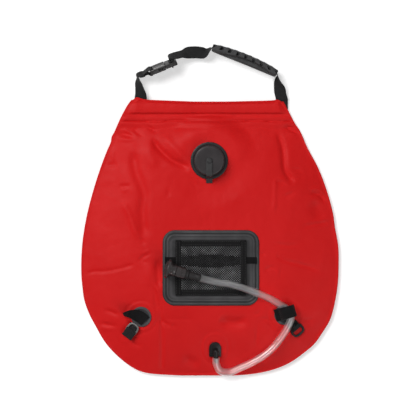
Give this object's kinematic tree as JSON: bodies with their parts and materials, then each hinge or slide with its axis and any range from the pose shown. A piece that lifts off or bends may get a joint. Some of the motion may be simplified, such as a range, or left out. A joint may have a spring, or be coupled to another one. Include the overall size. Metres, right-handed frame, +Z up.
{
  "type": "camp shower bag",
  "caption": "Camp shower bag lying on its back: welded bag with a screw-cap fill port, mesh pocket, clear hose with a shower head, hose straps, D-rings and a buckled carrying handle.",
  "frame": {"origin": "on the ground, under the middle of the bag and its handle", "axes": "+Z up, out of the bag's front; +Y towards the carrying handle; +X to the picture's right"},
  "size_m": [0.419, 0.5421, 0.0624],
  "materials": {
    "bag_fabric": "satin coated",
    "weld_patch": "satin",
    "webbing": "woven",
    "net": "knitted",
    "black_plastic": "satin",
    "soft_rubber": "matte",
    "clear_hose": "clear"
  },
  "bodies": {
    "bag": {"back_panel": "bag_fabric", "front_panel": "bag_fabric", "hem_bar": "black_plastic", "fill_flange": "black_plastic", "neck_tube": "black_plastic", "neck_thread": "black_plastic", "cap_tether": "soft_rubber", "pocket_patch": "weld_patch", "pocket_strap": "webbing", "pocket_mesh": "net", "tape_left": "webbing", "tape_right": "webbing", "tape_bottom": "webbing", "tape_top": "webbing", "outlet_base": "black_plastic", "outlet_barb": "black_plastic", "hose": "clear_hose", "head_stem": "black_plastic", "head_collar": "black_plastic", "head_body": "black_plastic", "round_patch_left": "weld_patch", "round_patch_right": "weld_patch", "ring_tab_left": "webbing", "ring_tab_right": "webbing", "handle_anchor_left": "webbing", "handle_anchor_right": "webbing"},
    "handle": {"handle_leg_left": "webbing", "buckle_female": "black_plastic", "webbing_slack": "webbing", "webbing_grip": "webbing", "handle_grip": "soft_rubber", "handle_leg_right": "webbing"},
    "buckle_half": {"buckle_male": "black_plastic"},
    "cap_lifter": {"cap_pin": "black_plastic"},
    "cap": {"fill_cap": "black_plastic", "fill_gasket": "soft_rubber"},
    "bell": {"head_bell": "black_plastic", "head_rose": "black_plastic"},
    "strap_left": {"hose_strap_left": "webbing"},
    "strap_right": {"hose_strap_right": "webbing"},
    "ring_left": {"d_ring_left": "black_plastic"},
    "ring_right": {"d_ring_right": "black_plastic"}
  },
  "joints": [
    {"name": "handle_swing", "type": "hinge", "parent": "bag", "child": "handle", "pos_m": [0, 0.181, 0.006], "axis": [1, 0, 0], "range_deg": [0, 115]},
    {"name": "buckle_release", "type": "slide", "parent": "handle", "child": "buckle_half", "axis": [0.9304, 0.3665, 0], "range_m": [0, 0.02], "deforming": ["webbing_slack"]},
    {"name": "cap_lift", "type": "slide", "parent": "bag", "child": "cap_lifter", "axis": [0, 0, 1], "range_m": [0, 0.006], "deforming": ["cap_tether"]},
    {"name": "cap_turn", "type": "hinge", "parent": "cap_lifter", "child": "cap", "pos_m": [0, 0.0796, 0.0375], "axis": [0, 0, 1], "range_deg": [0, 720]},
    {"name": "head_valve", "type": "slide", "parent": "bag", "child": "bell", "axis": [-0.9548, 0.2828, 0.0915], "range_m": [0, 0.005]},
    {"name": "strap_left_lift", "type": "hinge", "parent": "bag", "child": "strap_left", "pos_m": [-0.1046, -0.1822, 0.02577], "axis": [0.7245, 0.6756, 0.1362], "range_deg": [0, 150]},
    {"name": "strap_right_lift", "type": "hinge", "parent": "bag", "child": "strap_right", "pos_m": [0.1075, -0.1732, 0.02619], "axis": [0.2741, -0.956, -0.1041], "range_deg": [0, 120]},
    {"name": "ring_left_swing", "type": "hinge", "parent": "bag", "child": "ring_left", "pos_m": [-0.12937, -0.20025, 0.02088], "axis": [0.8006, -0.5983, 0.0328], "range_deg": [0, 140]},
    {"name": "ring_right_swing", "type": "hinge", "parent": "bag", "child": "ring_right", "pos_m": [0.14092, -0.19373, 0.01989], "axis": [-0.755, -0.6542, 0.045], "range_deg": [0, 110]}
  ],
  "couplings": [
    {"joint": "cap_lift", "follows": "cap_turn", "m_per_rad": 0.0004774}
  ]
}
